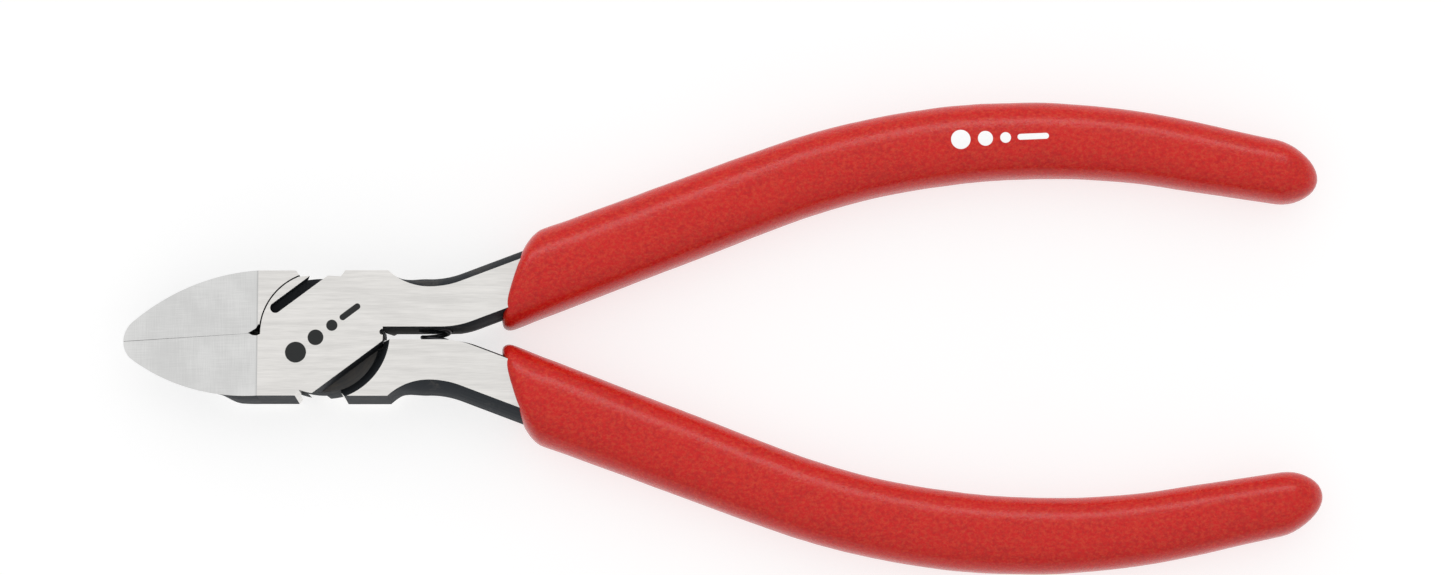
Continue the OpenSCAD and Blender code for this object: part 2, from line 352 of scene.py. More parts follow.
def between(x, table):
    """Straight-line value at x in a short table of (x, value)."""
    if x <= table[0][0]:
        return table[0][1]
    for (x0, v0), (x1, v1) in zip(table, table[1:]):
        if x <= x1:
            return v0 + (v1 - v0) * (x - x0) / (x1 - x0)
    return table[-1][1]


# ---------------------------------------------------------------------------- the handle's lines

NECK = (14.3, 6.25)  # lowest point of the neck's outer edge
BEND_X = 15.8  # where the arm's inner edge leaves the gap
ARM_X = 8.9  # where the arm leaves the head's block
CORNER_X = 8.0  # inner corner between the bar and the arm
HANDLE = (29.0, 8.49)  # a point on the straight stretch of the handle's centre line
BOW_X = 59.5  # where the bow starts
GRIP_X = 25.7  # where the arm enters the grip on the centre line
GRIP_SLANT = 0.342  # how far the grip's front leans back per millimetre outwards
SLANT_LENGTH = 18.0  # how far along the grip that lean fades out
END_ROUND = 5.6  # length of the grip's rounded end
TANG_END = GRIP_END_X - 4.3
GRIP_WIDTHS = ((29, 11.2), (64, 10.6), (84, 10.55), (96, 10.25), (117, 9.3), (127, 8.5), (134, 8))
GRIP_THICKNESSES = ((29, 11.4), (60, 10.4), (127, 9.6))
TANG_THICKNESSES = ((32, JOINT_T), (60, 8), (127, 7))
JAW_SHOULDER = ((-3.48, -8.4), (-2.93, -7.65))
LEAN_START = 2.5  # ahead of the crease, where a jaw's outer side starts to lean
LEAN_RUN = 6.0  # length over which that lean grows
BEVEL_START = 1.1  # ahead of the crease, where the cutting bevel starts
BEVEL_RUN = 1.3  # length of the bevel's rounded start
BLOCK_TOP = 8.43  # top of the block between the ramp and the arm
HANDLE_RAMP = ((2.49, 7.65), (3.09, BLOCK_TOP))
ROOT_LOW = -4.2  # below the bar's lower edge, where the root is cut off
ROOM_CORNER = (7.0, 1.75)  # inside the recess, just above the other half's root
ROOM_GAP = 0.12  # clearance past the other half's root


def bend(x, start, radius, slope):
    """Rise of an edge that bends from level to a slope, x past its start."""
    run = x - start
    reach = radius * math.sin(slope)
    if run < reach:
        return radius - math.sqrt(radius**2 - run**2)
    return radius * (1 - math.cos(slope)) + (run - reach) * math.tan(slope)


def outer_edge(s, x):
    """Height of the ground face's outer edge."""
    if x < NECK[0]:
        rise = s.neck_head_r - math.sqrt(s.neck_head_r**2 - (x - NECK[0]) ** 2)
    else:
        rise = bend(x, NECK[0], s.neck_arm_r, s.arm_angle)
    return NECK[1] + rise


def inner_edge(s, x):
    """Height of the ground face's inner edge."""
    return s.arm_gap + (bend(x, BEND_X, s.neck_arm_r, s.arm_angle) if x > BEND_X else 0)


def centre_line(s, x):
    """(height, slope) of the handle's centre line."""
    straight = math.tan(s.arm_angle)
    bow_y = HANDLE[1] + (BOW_X - HANDLE[0]) * straight
    hub = (BOW_X + s.bow_r * math.sin(s.arm_angle), bow_y - s.bow_r * math.cos(s.arm_angle))
    tail_x = hub[0] + s.bow_r * math.sin(s.tail_angle)
    if x < BOW_X:
        return HANDLE[1] + (x - HANDLE[0]) * straight, s.arm_angle
    if x < tail_x:
        return (
            hub[1] + math.sqrt(s.bow_r**2 - (x - hub[0]) ** 2),
            math.asin((hub[0] - x) / s.bow_r),
        )
    tail_y = hub[1] + s.bow_r * math.cos(s.tail_angle)
    return tail_y - (x - tail_x) * math.tan(s.tail_angle), -s.tail_angle


# ---------------------------------------------------------------------------- forged halves


def forged_ring(s, x, gap_relief, steps=12):
    """The arm's section: two ground faces and two forged sides that bulge to a parting ridge."""
    height, slope = centre_line(s, x)
    lean = math.cos(slope)
    half = JOINT_T / 2 if x < 32 else between(x, TANG_THICKNESSES) / 2
    out_b = s.outer_bulge * ease((x - ARM_X + 0.4) / 5.5) / lean
    in_b = s.inner_bulge * ease((x - BEND_X) / 5) / lean
    half_w = (between(x, GRIP_WIDTHS) / 2 - s.coat) / lean
    entering = ease((x - GRIP_X - 0.5) / 3)
    out_m = outer_edge(s, x) + out_b
    in_m = inner_edge(s, x) - in_b
    out_m += entering * (height + half_w - out_m)
    in_m += entering * (height - half_w - in_m)

    relief = gap_relief * ease((x - 9.2) / 0.8) * ease((18.5 - x) / 3)

    def side(edge, bulge, sign):
        points = []
        for i in range(steps + 1):
            v = 1 - 2 * i / steps
            ridge = s.flash * math.exp(-((v * half / 0.3) ** 2)) * min(1, abs(bulge) / 0.4)
            back = relief * clamp((-v - 0.7) / 0.3) if sign < 0 else 0
            points.append((x, edge - sign * (bulge * abs(v) ** 2.6 - ridge) + back, MID + v * half))
        return points

    return side(out_m, out_b, 1) + side(in_m, in_b, -1)[::-1]


def arm(s, gap_relief):
    near = [ARM_X + 0.3 * i for i in range(int((GRIP_X + 4 - ARM_X) / 0.3) + 1)]
    far = [32 + 2.5 * i for i in range(int((TANG_END - 32) / 2.5) + 1)] + [TANG_END]
    return loft("Arm", [forged_ring(s, x, gap_relief) for x in near + far])


def disc(s, crown_r):
    """A lap disc, narrower at the lap, crowned where the other half's shoulders pass."""
    hub = s.free_y - crown_r
    rings = []
    for z, round_r in ((MID + s.lap_gap / 2, s.floor_r - 0.12), (JOINT_T, s.disc_r)):
        ring = []
        for i in range(2 * ROUND):
            a = math.tau * i / (2 * ROUND)
            along = hub * math.sin(a)
            r = min(round_r, along + math.sqrt(along**2 + crown_r**2 - hub**2))
            ring.append((r * math.cos(a), r * math.sin(a), z))
        rings.append(ring)
    return loft("Disc", rings)


def handle_root(s):
    """The block between the bar and the arm."""
    return prism([
        (0, 0), *HANDLE_RAMP, (ARM_X - 0.06, BLOCK_TOP), (ARM_X, outer_edge(s, ARM_X)),
        (ARM_X, s.arm_gap), (CORNER_X, s.arm_gap), (CORNER_X, ROOT_LOW), (0, ROOT_LOW),
    ], 0, JOINT_T)


def below_bar(s):
    """Cutter of what lies below the bar's lower edge."""
    box = prism([(-FAR, -FAR), (8, -FAR), (8, -s.bar_half), (-FAR, -s.bar_half)], -PAST, JOINT_T + PAST)
    return placed(box, Matrix.Rotation(s.bar_angle, 4, "Z"))


def groove(s):
    """Round-ended cutter of the shallow groove."""
    near = -2.9
    across = s.bar_half + s.groove_w / 2
    half = s.groove_w / 2
    outline = arc((near, across), half, 90, 270, 24) + [(FAR / 2, across - half), (FAR / 2, across + half)]
    cutter = prism(outline, JOINT_T - s.groove_depth, JOINT_T + PAST)
    return placed(cutter, Matrix.Rotation(s.bar_angle, 4, "Z"))


def pocket(s):
    bore = cone(s.arm_gap - PAST, s.pocket_d / 2, s.arm_gap + s.pocket_depth, s.pocket_d / 2, 96)
    upright = Matrix.Rotation(-math.pi / 2, 4, "X")
    return placed(bore, Matrix.Translation((s.spring_x, 0, MID)) @ upright)


def countersunk_bore(s, gap):
    """Cutter of the rivet's bore, flared at the front."""
    bore_r = s.rivet_r + gap
    flare = s.rivet_head_r - s.rivet_r
    return turned("Bore", (
        (-PAST, bore_r), (JOINT_T - flare, bore_r), (JOINT_T + PAST, bore_r + flare + PAST),
    ))


def root_room(s):
    """Cutter of the room behind the lap for the other half's handle root."""
    near, high = ROOM_CORNER
    low, far = ROOT_LOW - PAST, CORNER_X + ROOM_GAP
    outline = [(near, low), (far, low), (far, high), (near, high)]
    return prism(outline, -PAST, MID + s.lap_gap / 2)


def handle_side(s, crown_r, gap_relief):
    """A forged half in the front half's place, without its jaw."""
    made = joined(handle_root(s), arm(s, gap_relief))
    slope = (s.shoulder_r - s.floor_r) / (MID + s.lap_gap / 2)
    cut(made, cone(-PAST, s.shoulder_r + slope * PAST, MID + s.lap_gap / 2, s.floor_r))
    cut(made, root_room(s))
    joined(made, disc(s, crown_r))
    cut(made, below_bar(s))
    cut(made, groove(s))
    cut(made, pocket(s))
    notch = cone(-PAST, 0.4, JOINT_T + PAST, 0.4, 32)
    return cut(made, placed(notch, Matrix.Translation((CORNER_X + 0.1, 0.15, 0))))


def jaw_ring(s, x):
    """Section of the lower jaw, x past the crease (negative ahead of it)."""
    run = -TIP_X - s.crease
    drop = s.jaw_r - s.head_half
    nose_r = (s.jaw_r**2 - run**2 - drop**2) / 2 / (s.jaw_r - run)
    nose_x = nose_r - run
    ahead = clamp(-x / run)
    gap = s.edge_gap / 2 * (0.35 + 0.65 * ahead)
    front = JOINT_T + (s.tip_front - JOINT_T) * ahead
    back = s.tip_back * ahead
    shift = -s.jaw_drop * ahead
    meet = nose_x - nose_r * nose_x / -(s.jaw_r - nose_r)
    if x < meet:
        wide = math.sqrt(max(0, nose_r**2 - (x - nose_x) ** 2))
    elif x < 0:
        wide = math.sqrt(s.jaw_r**2 - x**2) - drop
    else:
        wide = s.head_half
        corner, end = (p[0] + s.crease for p in JAW_SHOULDER)
        if x > corner:
            wide += (-JAW_SHOULDER[1][1] - s.head_half) * (x - corner) / (end - corner)
    wide = max(wide, gap + 0.02)
    lean = s.lean * ease((-x - LEAN_START) / LEAN_RUN)
    tilt = math.tan(s.bevel_angle)
    runout = clamp((-x - BEVEL_START) / BEVEL_RUN)
    depth = math.sqrt(runout * (2 - runout)) * (front - back - s.edge_land)
    meeting = (wide - gap + s.edge_land * tilt) / (lean + tilt)
    low = front - back
    if depth > 0 and meeting < low:
        low = max(meeting, s.edge_land + 0.02)
    outer_low = -wide + lean * low
    bevel_end = max(outer_low + 0.01, -gap - depth * tilt - 0.01)
    bevel_top = back + depth if depth < front - back - s.edge_land else front - s.edge_land
    section = [
        (-gap, front), (-wide, front), (-wide + lean * low / 2, front - low / 2),
        (outer_low, front - low), (min(bevel_end, -gap - 0.01), front - low),
        (-gap, max(bevel_top, front - low + 0.01)),
    ]
    return [(x - s.crease, y + shift, z) for y, z in section]


def jaw(s):
    run = -TIP_X - s.crease
    nose = [-run + 0.02 + 3.0 * (1 - math.cos(math.pi / 2 * i / 14)) for i in range(14)]
    side = [-run + 3.1 + (run - 3.1) * i / 56 for i in range(56)]
    head = [p[0] + s.crease for p in JAW_SHOULDER]
    return loft("Jaw", [jaw_ring(s, x) for x in nose + side + [0.0] + head])


def recessed(s, made, low, high):
    """A jaw cut out for the other half's disc and for the throat of the cutting edges."""
    cut(made, cone(low, s.recess_r, high, s.recess_r))
    throat = [
        (-9.8, 0.02), (-8.75, 0.62), (-8.45, 1.15), (-8.15, 1.15), (-8.2, -0.15),
        (-8.65, -0.35), (-9.2, -0.3),
    ]
    return cut(made, prism(throat, -PAST, JOINT_T + PAST))


GROUND, JAW, FORGED, LAP = range(4)


def assign_finishes(s, made, materials):
    """Ground faces are bright, and everything forged or recessed is dark."""
    for m in materials:
        made.data.materials.append(m)
    for face in made.data.polygons:
        c, n = face.center, face.normal
        flat = abs(n.z)
        at_face = c.z > JOINT_T - 0.2 or c.z < 0.2
        ahead = c.x < -s.crease - 0.01
        bevelled = ahead and n.z < -0.3
        if ahead and (flat > 0.8 or bevelled):
            face.material_index = JAW
        elif abs(c.x) < 3.7 and 7.2 < abs(c.y) and abs(n.x) > 0.5:
            face.material_index = GROUND
        elif flat > 0.35 and at_face and abs(c.x) < GRIP_X + 6:
            face.material_index = GROUND
        elif flat > 0.9 and abs(c.z - MID) < 0.1:
            face.material_index = LAP
        else:
            face.material_index = FORGED


def half(s, front):
    """One forged half in its own place."""
    crown_r, gap_relief = (s.front_crown_r, s.gap_relief) if front else (s.rear_crown_r, 0)
    made = handle_side(s, crown_r, gap_relief)
    blade = jaw(s)
    if front:
        recessed(s, blade, -PAST, MID + s.lap_gap / 2)
    else:
        turned_over(made)
        mirror = Matrix.Scale(-1, 4, (0, 1, 0))
        placed(blade, mirror)
        for v in blade.data.vertices:
            ahead = clamp((-s.crease - v.co.x) / (-TIP_X - s.crease))
            v.co.y -= 2 * s.jaw_drop * ahead
        blade.data.flip_normals()
        recessed(s, blade, MID - s.lap_gap / 2, JOINT_T + PAST)
    return cleaned(joined(made, blade))


# ---------------------------------------------------------------------------- grips


def oval(x, height, half_w, half_t, steps, power=0.8):
    """A squared oval standing across the handle."""
    ring = []
    for i in range(steps):
        a = math.tau * i / steps
        c, q = math.cos(a), math.sin(a)
        ring.append((
            x,
            height + half_w * math.copysign(abs(c) ** power, c),
            MID + half_t * math.copysign(abs(q) ** power, q),
        ))
    return ring


def grip_ring(s, x, k=1.0, steps=56):
    """The coat's section, k of the way from the steel out to its skin."""
    height, slope = centre_line(s, x)
    lean = math.cos(slope)
    tip = clamp((x - GRIP_END_X + END_ROUND) / END_ROUND, 0, 0.999)
    end = (1 - tip**1.9) ** (1 / 1.9)
    coat = s.coat * (1 - k)
    half_w = (between(x, GRIP_WIDTHS) / 2 - coat) / lean * end
    half_t = (between(x, GRIP_THICKNESSES) / 2 - coat * 0.75) * end
    slant = GRIP_SLANT * clamp(1 - (x - GRIP_X) / SLANT_LENGTH)
    ring = []
    for px, py, pz in oval(x, height, half_w, half_t, steps):
        dx = slant * (py - height)
        ring.append((px + dx, py + dx * math.tan(s.arm_angle), pz))
    return ring


def uneven(point):
    """The slight unevenness of a dipped coat."""
    p = Vector(point)
    return 0.05 * noise.noise(p * 0.16) + 0.025 * noise.noise(p * 0.55 + Vector((7, 3, 1)))


def grip(s):
    """The dipped sleeve of the upper handle: bore, rounded lip and skin."""
    bore = [grip_ring(s, x, -0.12) for x in (TANG_END - 0.5, 110, 90, 70, 50, 36, 30)]
    lip = []
    front = GRIP_X - 0.35
    for i in range(11):
        t = math.pi / 2 * i / 10
        lip.append(grip_ring(s, front + s.lip * (1 - math.cos(t)), -0.12 + 1.12 * math.sin(t)))
    straight = [front + s.lip + 1.0 * i for i in range(1, 200)]
    straight = [x for x in straight if x < GRIP_END_X - END_ROUND - 0.3]
    end = [GRIP_END_X - END_ROUND * (1 - math.sin(math.pi / 2 * i / 10)) for i in range(11)]
    rings = bore + lip
    for x in straight + end:
        ring = []
        height = centre_line(s, x)[0]
        for p in grip_ring(s, min(x, GRIP_END_X - 0.01)):
            out = Vector((0, p[1] - height, p[2] - MID))
            fade = ease((x - GRIP_X - s.lip) / 3) * ease((GRIP_END_X - x) / 2)
            push = out.normalized() * (uneven(p) - 0.06) * fade if out.length > 0.5 else Vector()
            ring.append((p[0], p[1] + push.y, p[2] + push.z))
        rings.append(ring)
    return loft("Grip", rings)


# ---------------------------------------------------------------------------- spring


def spring_tree(material):
    """A coil about its own Y axis, with its end turns closed up."""
    tree = bpy.data.node_groups.new("Opening spring", "GeometryNodeTree")
    face = tree.interface
    face.new_socket("Geometry", in_out="OUTPUT", socket_type="NodeSocketGeometry")
    for name, default in (("Coil radius", 1.8), ("Half length", 3.8), ("Wire radius", 0.3)):
        face.new_socket(name, in_out="INPUT", socket_type="NodeSocketFloat").default_value = default
    face.new_socket("Turns", in_out="INPUT", socket_type="NodeSocketInt").default_value = 7
    inlet = tree.nodes.new("NodeGroupInput")
    outlet = tree.nodes.new("NodeGroupOutput")

    def node(kind, settings=None, **inputs):
        made = tree.nodes.new(kind)
        for key, value in (settings or {}).items():
            setattr(made, key, value)
        for key, value in inputs.items():
            socket = made.inputs[int(key[1:])] if key[0] == "i" and key[1:].isdigit() else made.inputs[key]
            if isinstance(value, bpy.types.NodeSocket):
                tree.links.new(value, socket)
            else:
                socket.default_value = value
        return made.outputs[0]

    def maths(operation, *values):
        return node("ShaderNodeMath", {"operation": operation}, **{f"i{k}": v for k, v in enumerate(values)})

    turns, radius = inlet.outputs["Turns"], inlet.outputs["Coil radius"]
    count = maths("ADD", maths("MULTIPLY", turns, 40.0), 1.0)
    line = node("GeometryNodeCurvePrimitiveLine")
    points = node("GeometryNodeResampleCurve", Curve=line, Count=count)
    along = node("GeometryNodeSplineParameter")
    turn = maths("MULTIPLY", maths("MULTIPLY", along, turns), math.tau)
    t = maths("SUBTRACT", maths("MULTIPLY", along, 2.0), 1.0)
    inward = maths("SUBTRACT", 1.0, maths("ABSOLUTE", t))
    pitch = maths("MULTIPLY", maths("SIGN", t), maths("SUBTRACT", 1.0, maths("POWER", inward, 1.35)))
    place = node(
        "ShaderNodeCombineXYZ",
        X=maths("MULTIPLY", maths("COSINE", turn), radius),
        Y=maths("MULTIPLY", pitch, inlet.outputs["Half length"]),
        Z=maths("MULTIPLY", maths("SINE", turn), radius),
    )
    coil = node("GeometryNodeSetPosition", Geometry=points, Position=place)
    wire = node("GeometryNodeCurvePrimitiveCircle", Resolution=14, Radius=inlet.outputs["Wire radius"])
    skin = tree.nodes.new("GeometryNodeCurveToMesh")
    tree.links.new(coil, skin.inputs["Curve"])
    tree.links.new(wire, skin.inputs["Profile Curve"])
    skin.inputs["Fill Caps"].default_value = True
    real = node("GeometryNodeRealizeInstances", Geometry=skin.outputs[0])
    done = node("GeometryNodeSetMaterial", Geometry=real, Material=material)
    tree.links.new(done, outlet.inputs[0])
    return tree


# ---------------------------------------------------------------------------- materials


class Signal:
    """A node's output that takes part in Python arithmetic."""

    def __init__(self, tree, socket):
        self.tree = tree
        self.socket = socket

    def maths(self, operation, *values):
        node = self.tree.nodes.new("ShaderNodeMath")
        node.operation = operation
        for socket, value in zip(node.inputs, values):
            plug(self.tree, socket, value)
        return Signal(self.tree, node.outputs[0])

    def __add__(self, other):
        return self.maths("ADD", self, other)

    def __sub__(self, other):
        return self.maths("SUBTRACT", self, other)

    def __rsub__(self, other):
        return self.maths("SUBTRACT", other, self)

    def __mul__(self, other):
        return self.maths("MULTIPLY", self, other)

    def __pow__(self, other):
        return self.maths("POWER", self, other)

    def least(self, other):
        return self.maths("MINIMUM", self, other)

    def most(self, other):
        return self.maths("MAXIMUM", self, other)

    def size(self):
        return self.maths("ABSOLUTE", self)

    __radd__ = __add__
    __rmul__ = __mul__


def plug(tree, socket, value):
    """Links a signal into a socket, or sets the socket to a plain value."""
    if isinstance(value, Signal):
        tree.links.new(value.socket, socket)
    elif hasattr(value, "__len__") and len(value) == 3 and socket.type == "RGBA":
        socket.default_value = (*value, 1)
    else:
        socket.default_value = value


class Finish:
    """A material built from one shader and the patterns that drive it."""

    def __init__(self, name):
        self.material = bpy.data.materials.new(name)
        self.material.use_nodes = True
        self.tree = self.material.node_tree
        self.shader = self.tree.nodes["Principled BSDF"]
        self.place = self.node("ShaderNodeTexCoord", output="Object")

    def node(self, kind, settings=None, inputs=None, output=0):
        made = self.tree.nodes.new(kind)
        for key, value in (settings or {}).items():
            setattr(made, key, value)
        for key, value in (inputs or {}).items():
            plug(self.tree, made.inputs[key], value)
        return Signal(self.tree, made.outputs[output])

    def spot(self, size, angle=0.0, centre=(0, 0, 0)):
        """The place in units of the size, a number or one for each axis, in millimetres."""
        if not hasattr(size, "__len__"):
            size = (size,) * 3
        moved = self.node("ShaderNodeVectorMath", {"operation": "SUBTRACT"}, {
            0: self.place, 1: [c * MM for c in centre]})
        return self.node("ShaderNodeMapping", {"vector_type": "POINT"}, {
            "Vector": self.node("ShaderNodeMapping", None, {"Vector": moved, "Rotation": (0, 0, -angle)}),
            "Scale": [1 / (MM * v) for v in size],
        })

    def grain(self, size, detail=2.0, rough=0.5, distortion=0.0):
        """Noise whose features measure about the size in millimetres."""
        return self.node("ShaderNodeTexNoise", None, {
            "Vector": self.spot(size), "Scale": 1.0, "Detail": detail,
            "Roughness": rough, "Distortion": distortion,
        })

    def ramp(self, value, low, high, to_low=0.0, to_high=1.0):
        """A smooth step of the value from low to high."""
        return self.node("ShaderNodeMapRange", {"interpolation_type": "SMOOTHSTEP"}, {
            "Value": value, "From Min": low, "From Max": high, "To Min": to_low, "To Max": to_high,
        })

    def mix(self, factor, a, b):
        """A colour between a and b."""
        made = self.tree.nodes.new("ShaderNodeMix")
        made.data_type = "RGBA"
        colours = [i for i in made.inputs if i.type == "RGBA"]
        plug(self.tree, made.inputs[0], factor)
        plug(self.tree, colours[0], a)
        plug(self.tree, colours[1], b)
        return Signal(self.tree, next(o for o in made.outputs if o.type == "RGBA"))

    def bump(self, height, depth):
        """A normal raised by the height, of which 1 stands for the depth in millimetres."""
        return self.node("ShaderNodeBump", None, {
            "Height": height, "Distance": depth * MM, "Strength": 1.0})

    def set(self, **sockets):
        """Sets or links the shader's sockets, named with underscores for spaces."""
        for key, value in sockets.items():
            plug(self.tree, self.shader.inputs[key.replace("_", " ")], value)
        return self.material


def symbol(f, dots, stroke, centre, angle, depth):
    """A mask of a generic symbol: a row of shrinking dots and a round-ended stroke.

    It is 1 inside, for places above the depth in millimetres. Dots are (place, radius) and the
    stroke is (start, end, half width), all along one line.
    """
    apart = f.node("ShaderNodeSeparateXYZ", None, {"Vector": f.spot(1.0, angle, centre)})
    u = apart
    v = Signal(f.tree, apart.socket.node.outputs[1])
    z = Signal(f.tree, apart.socket.node.outputs[2])
    start, end, wide = stroke
    along = ((u - (start + end) / 2).size() - (end - start) / 2).most(0.0)
    gap = (along**2.0 + v**2.0) ** 0.5 - wide
    for place, radius in dots:
        gap = gap.least(((u - place) ** 2.0 + v**2.0) ** 0.5 - radius)
    inside = f.ramp(gap, -0.03, 0.03, 1.0, 0.0)
    return inside * f.ramp(z, depth - 0.1, depth)


def ground_steel(c, marked):
    """Bright ground steel, its fine scratches running lengthwise."""
    f = Finish("ground_steel_marked" if marked else "ground_steel")
    fine = f.grain((2.6, 0.07, 0.5), detail=3, rough=0.6)
    streak = f.grain((9.0, 0.45, 2.0), detail=2, rough=0.5)
    cloud = f.grain((6.0, 3.0, 3.0), detail=2)
    tone = fine * 0.45 + streak * 0.35 + cloud * 0.2
    bright = [min(1, v * 1.07) for v in c.ground]
    base = f.mix(f.ramp(tone, 0.32, 0.68), [v * 0.86 for v in c.ground], bright)
    rough = 0.30 + fine * 0.16 + streak * 0.06
    metal = 1.0
    if marked:
        mask = symbol(
            f, ((-4.3, 1.4), (-1.0, 1.05), (1.7, 0.75)), (3.5, 5.9, 0.42),
            (0, 0, 0), math.radians(37), JOINT_T - 0.15,
        )
        base = f.mix(mask, base, c.etched)
        rough = rough + mask * 0.35
        metal = 1.0 - mask
    return f.set(
        Base_Color=base, Metallic=metal, Roughness=rough,
        Normal=f.bump(fine * 0.7 + streak * 0.3, 0.012),
    )


def jaw_steel(c):
    """Finely ground jaws with a faint crosshatch and a painted shade line along the crease."""
    f = Finish("jaw_steel")
    across = f.grain((0.09, 3.0, 1.0), detail=2, rough=0.6)
    along = f.grain((3.0, 0.09, 1.0), detail=2, rough=0.6)
    cloud = f.grain((5.0, 5.0, 5.0), detail=2)
    tone = across * 0.3 + along * 0.3 + cloud * 0.4
    base = f.mix(f.ramp(tone, 0.35, 0.65), [v * 0.9 for v in c.jaw], [min(1, v * 1.06) for v in c.jaw])
    x = f.node("ShaderNodeSeparateXYZ", None, {"Vector": f.spot(1.0)})
    # A thin dark line painted across the jaw faces just ahead of the crease: painted shade at the fold where
    # the faces start to thin
    line = f.ramp((x + sizes().crease + 0.08).size(), 0.03, 0.2, 0.35, 0.0)
    base = f.mix(line, base, [v * 0.4 for v in c.jaw])
    return f.set(
        Base_Color=base, Metallic=1.0, Roughness=0.34 + across * 0.08 + along * 0.08,
        Normal=f.bump(across * 0.5 + along * 0.5, 0.008),
    )


def forged_steel(c):
    """Dark scale with a rubbed bloom."""
    f = Finish("forged_steel")
    pores = f.grain(0.35, detail=4, rough=0.65)
    cloud = f.grain((4.0, 4.0, 2.5), detail=3, rough=0.6, distortion=0.6)
    rubbed = f.ramp(cloud * 0.7 + pores * 0.3, 0.52, 0.72) * 0.55
    base = f.mix(rubbed, f.mix(pores, c.forged, [v * 1.5 for v in c.forged]), c.worn)
    return f.set(
        Base_Color=base, Metallic=0.15, Roughness=0.54 + pores * 0.24, Specular_IOR_Level=0.1,
        Normal=f.bump(pores * 0.6 + cloud * 0.4, 0.04),
    )


def lap_steel(c):
    """Dark lap faces, rubbed in rings about the pivot."""
    f = Finish("lap_steel")
    x = f.node("ShaderNodeSeparateXYZ", None, {"Vector": f.spot(1.0)})
    y = Signal(f.tree, x.socket.node.outputs[1])
    r = (x**2.0 + y**2.0) ** 0.5
    rings = f.node("ShaderNodeTexNoise", None, {
        "Vector": f.node("ShaderNodeCombineXYZ", None, {"X": r * 5.0, "Y": x * 0.12, "Z": y * 0.12}),
        "Scale": 1.0, "Detail": 3.0,
    })
    cloud = f.grain(2.2, detail=3, rough=0.6, distortion=0.5)
    base = f.mix(f.ramp(rings * 0.5 + cloud * 0.5, 0.38, 0.62), c.lap, c.worn)
    return f.set(
        Base_Color=base, Metallic=0.6, Roughness=0.38 + rings * 0.14, Normal=f.bump(rings, 0.01)
    )


def spring_wire(c):
    f = Finish("spring_wire")
    drawn = f.grain((0.3, 0.06, 0.3), detail=2)
    base = f.mix(drawn, c.spring, [v * 2.2 for v in c.spring])
    return f.set(
        Base_Color=base, Metallic=0.8, Roughness=0.32 + drawn * 0.15, Normal=f.bump(drawn, 0.006)
    )


def dipped_vinyl(c, marked):
    """Soft red coat with a fine leathery grain, warm flecks, and a deeper red in its pits that is partly
    mottling and partly painted shade.
    """
    f = Finish("dipped_vinyl_marked" if marked else "dipped_vinyl")
    pebble = f.grain(0.55, detail=3, rough=0.6)
    fine = f.grain(0.2, detail=2, rough=0.6)
    fleck = f.grain((0.55, 0.4, 0.45), detail=3, rough=0.6, distortion=0.4)
    cloud = f.grain((7.0, 5.0, 5.0), detail=3, rough=0.55)
    # Deeper red where the pebble noise is low, where the bump sinks: partly colour mottling, partly painted
    # shade in the pits
    base = f.mix(f.ramp(pebble * 0.75 + cloud * 0.25, 0.58, 0.36) * 0.6, c.grip, c.grip_shade)
    base = f.mix(f.ramp(fleck * 0.6 + fine * 0.4, 0.42, 0.66) * 0.55, base, c.grip_fleck)
    rough = 0.18 + pebble * 0.12 + fleck * 0.05
    if marked:
        mask = symbol(
            f, ((-5.6, 1.3), (-2.3, 1.0), (0.4, 0.72)), (2.4, 5.8, 0.4),
            (90.8, 26.3, 0), math.radians(2.5), JOINT_T,
        )
        base = f.mix(mask, base, c.print_white)
    return f.set(
        Base_Color=base, Roughness=rough, Specular_IOR_Level=0.30,
        Normal=f.bump(pebble * 0.6 + fine * 0.25 + cloud * 0.15, 0.06),
    )


def pale_floor(c):
    """A pale floor that glows a little, so that it stays pale in soft light."""
    f = Finish("pale_floor")
    cloud = f.grain(40, detail=2)
    base = f.mix(cloud, [v * 0.44 for v in c.floor], [v * 0.47 for v in c.floor])
    glow = [v * 0.72 for v in c.floor]
    return f.set(Base_Color=base, Roughness=0.7, Emission_Color=glow, Emission_Strength=1.0)


# ---------------------------------------------------------------------------- operators


class CUTTER_OT_halves(bpy.types.Operator):
    """Make the two forged halves"""

    bl_idname = "cutter.halves"
    bl_label = "Forged halves"

    def execute(self, context):
        s = sizes()
        c = context.scene.cutter_colours
        shared = [jaw_steel(c), forged_steel(c), lap_steel(c)]
        for front, name, body in ((True, "front_half", FRONT_BODY), (False, "rear_half", REAR_BODY)):
            made = softened(half(s, front), s.chamfer)
            bore = countersunk_bore(s, 0 if front else s.rivet_gap)
            cut(made, bore if front else turned_over(bore))
            assign_finishes(s, made, [ground_steel(c, front), *shared])
            finished(smoothed(made, plane=3), f"{name}_forging", body, name)
        return {"FINISHED"}


class CUTTER_OT_rivet(bpy.types.Operator):
    """Make the flush rivet"""

    bl_idname = "cutter.rivet"
    bl_label = "Rivet"

    def execute(self, context):
        s = sizes()
        flare = s.rivet_head_r - s.rivet_r
        made = turned("Rivet", (
            (0, s.rivet_head_r - 0.08), (0.05, s.rivet_head_r - 0.05), (flare, s.rivet_r),
            (JOINT_T - flare, s.rivet_r), (JOINT_T, s.rivet_head_r),
        ))
        made.data.materials.append(bpy.data.materials["ground_steel_marked"])
        finished(smoothed(made, plane=3), "flush_rivet", FRONT_BODY, "pivot_rivet")
        return {"FINISHED"}


